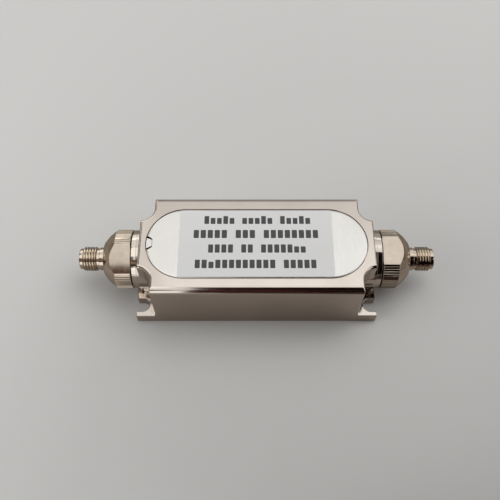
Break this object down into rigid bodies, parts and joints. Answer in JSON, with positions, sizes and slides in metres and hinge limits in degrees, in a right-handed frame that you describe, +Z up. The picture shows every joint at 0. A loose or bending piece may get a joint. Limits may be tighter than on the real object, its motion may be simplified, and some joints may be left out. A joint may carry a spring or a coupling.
{
  "type": "rf bandpass filter",
  "caption": "Nickel-plated die-cast filter box with a flush labelled lid, open screw slots in its flange and a threaded coaxial jack on each end.",
  "frame": {"origin": "on the mounting face, under the middle of the box", "axes": "+X from the input jack to the output jack, +Z up from the mounting face to the lid, +Y to the side away from the picture's camera"},
  "size_m": [0.0924, 0.0274, 0.0183],
  "materials": {
    "plated_casting": "satin nickel plate",
    "lid_plate": "fine satin",
    "label_stock": null,
    "plated_brass": "turned, nickel plated",
    "seal_rubber": "matte",
    "insulator": "waxy",
    "gold_contact": "gold plated",
    "board_laminate": "solder resist",
    "screw_steel": "plated",
    "coil_wire": "enamelled copper",
    "chip_ceramic": "matte, tinned ends"
  },
  "bodies": {
    "root": {"housing": "plated_casting", "lid": "lid_plate", "label": "label_stock", "input_jack_body": "plated_brass", "output_jack_body": "plated_brass", "input_seal_ring": "seal_rubber", "output_seal_ring": "seal_rubber", "input_dielectric": "insulator", "output_dielectric": "insulator", "input_contact": "gold_contact", "output_contact": "gold_contact", "circuit_board": "board_laminate", "board_screws": "screw_steel", "resonator_coil_1": "coil_wire", "resonator_coil_2": "coil_wire", "resonator_coil_3": "coil_wire", "resonator_coil_4": "coil_wire", "resonator_coil_5": "coil_wire", "shunt_capacitor_1": "chip_ceramic", "shunt_capacitor_2": "chip_ceramic", "shunt_capacitor_3": "chip_ceramic", "shunt_capacitor_4": "chip_ceramic", "shunt_capacitor_5": "chip_ceramic", "coupling_capacitor_1": "chip_ceramic", "coupling_capacitor_2": "chip_ceramic", "coupling_capacitor_3": "chip_ceramic", "coupling_capacitor_4": "chip_ceramic", "coupling_capacitor_5": "chip_ceramic", "coupling_capacitor_6": "chip_ceramic"}
  },
  "joints": []
}
